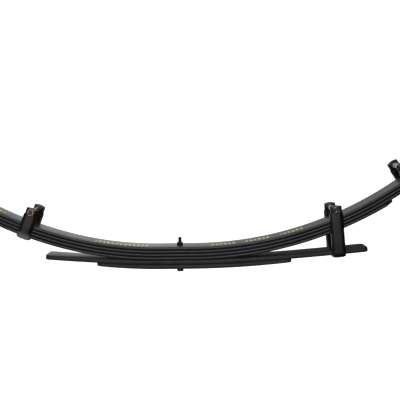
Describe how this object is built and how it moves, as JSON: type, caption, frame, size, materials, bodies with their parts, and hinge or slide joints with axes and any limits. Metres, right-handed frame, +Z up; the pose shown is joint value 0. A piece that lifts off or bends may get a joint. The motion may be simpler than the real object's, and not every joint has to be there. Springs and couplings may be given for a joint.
{
  "type": "leaf spring",
  "caption": "Semi-elliptic pickup leaf spring: four main leaves on two flat helper leaves, centre bolt, bushed rolled eyes and bolted rebound clips; it flexes to its helper.",
  "frame": {"origin": "middle of the axle seat: the underside of the short helper leaf, on the centre bolt's axis", "axes": "+X to the rear of the vehicle, along the leaves; +Y across the leaves; +Z up, from the axle seat through the pack"},
  "size_m": [1.2546, 0.0928, 0.3619],
  "materials": {
    "leaf_paint": "semi-gloss black paint, grey sheen on the upper faces",
    "helper_paint": "semi-gloss black paint, slightly duller",
    "clip_paint": "satin black paint",
    "liner_nylon": "matt black nylon",
    "rivet_steel": "thinly painted steel",
    "yellow_zinc": "yellow zinc plate",
    "tube_steel": "clear zinc plate",
    "centre_bolt_steel": "black phosphate",
    "bush_poly": "satin black polyurethane"
  },
  "bodies": {
    "leaf_pack": {"main_leaf": "leaf_paint", "second_leaf": "leaf_paint", "third_leaf": "leaf_paint", "fourth_leaf": "leaf_paint", "long_helper_leaf": "helper_paint", "short_helper_leaf": "helper_paint", "centre_bolt": "centre_bolt_steel", "centre_nut": "centre_bolt_steel", "overload_clip_strap": "clip_paint", "overload_clip_liner": "liner_nylon", "overload_clip_rivet": "rivet_steel", "overload_clip_bolt": "yellow_zinc", "overload_clip_nut": "yellow_zinc"},
    "front_eye": {"front_bush_left": "bush_poly", "front_bush_right": "bush_poly"},
    "front_tube": {"front_crush_tube": "tube_steel"},
    "rear_eye": {"rear_bush_left": "bush_poly", "rear_bush_right": "bush_poly"},
    "rear_tube": {"rear_crush_tube": "tube_steel"},
    "front_clip": {"front_clip_strap": "clip_paint", "front_clip_liner": "liner_nylon", "front_clip_rivet": "rivet_steel", "front_clip_bolt": "yellow_zinc", "front_clip_nut": "yellow_zinc"},
    "rear_clip": {"rear_clip_strap": "clip_paint", "rear_clip_liner": "liner_nylon", "rear_clip_rivet": "rivet_steel", "rear_clip_bolt": "yellow_zinc", "rear_clip_nut": "yellow_zinc"},
    "front_spacer": {"front_clip_spacer": "tube_steel"},
    "overload_spacer": {"overload_clip_spacer": "tube_steel"},
    "rear_spacer": {"rear_clip_spacer": "tube_steel"}
  },
  "joints": [
    {"name": "front_flex", "type": "hinge", "parent": "leaf_pack", "child": "front_eye", "pos_m": [0, 0, 0.0347], "axis": [0, -1, 0], "range_deg": [-2, 9.5], "stiffness_Nm_per_rad": 2850, "deforming": ["main_leaf", "second_leaf", "third_leaf", "fourth_leaf"]},
    {"name": "rear_flex", "type": "hinge", "parent": "leaf_pack", "child": "rear_eye", "pos_m": [0, 0, 0.0347], "axis": [0, 1, 0], "range_deg": [-2, 14.5], "stiffness_Nm_per_rad": 2350, "deforming": ["main_leaf", "second_leaf", "third_leaf", "fourth_leaf"]},
    {"name": "front_clip_follow", "type": "hinge", "parent": "leaf_pack", "child": "front_clip", "pos_m": [-0.2008, 0, 0.0523], "axis": [0, -1, 0], "range_deg": [-3.4, 15.4]},
    {"name": "rear_clip_follow", "type": "hinge", "parent": "leaf_pack", "child": "rear_clip", "pos_m": [0.2502, 0, 0.0864], "axis": [0, 1, 0], "range_deg": [-3.5, 24]},
    {"name": "front_tube_turn", "type": "hinge", "parent": "front_eye", "child": "front_tube", "pos_m": [-0.53462, 0, 0.22031], "axis": [0, 1, 0], "continuous": true},
    {"name": "rear_tube_turn", "type": "hinge", "parent": "rear_eye", "child": "rear_tube", "pos_m": [0.6628, 0, 0.32738], "axis": [0, 1, 0], "continuous": true},
    {"name": "front_spacer_turn", "type": "hinge", "parent": "front_clip", "child": "front_spacer", "pos_m": [-0.31748, 0, 0.12878], "axis": [0, 1, 0], "continuous": true},
    {"name": "overload_spacer_turn", "type": "hinge", "parent": "leaf_pack", "child": "overload_spacer", "pos_m": [0.33797, 0, 0.12647], "axis": [0, 1, 0], "continuous": true},
    {"name": "rear_spacer_turn", "type": "hinge", "parent": "rear_clip", "child": "rear_spacer", "pos_m": [0.48059, 0, 0.21855], "axis": [0, 1, 0], "continuous": true}
  ],
  "couplings": [
    {"joint": "front_clip_follow", "follows": "front_flex", "ratio": 1.596},
    {"joint": "rear_clip_follow", "follows": "rear_flex", "ratio": 1.633}
  ]
}
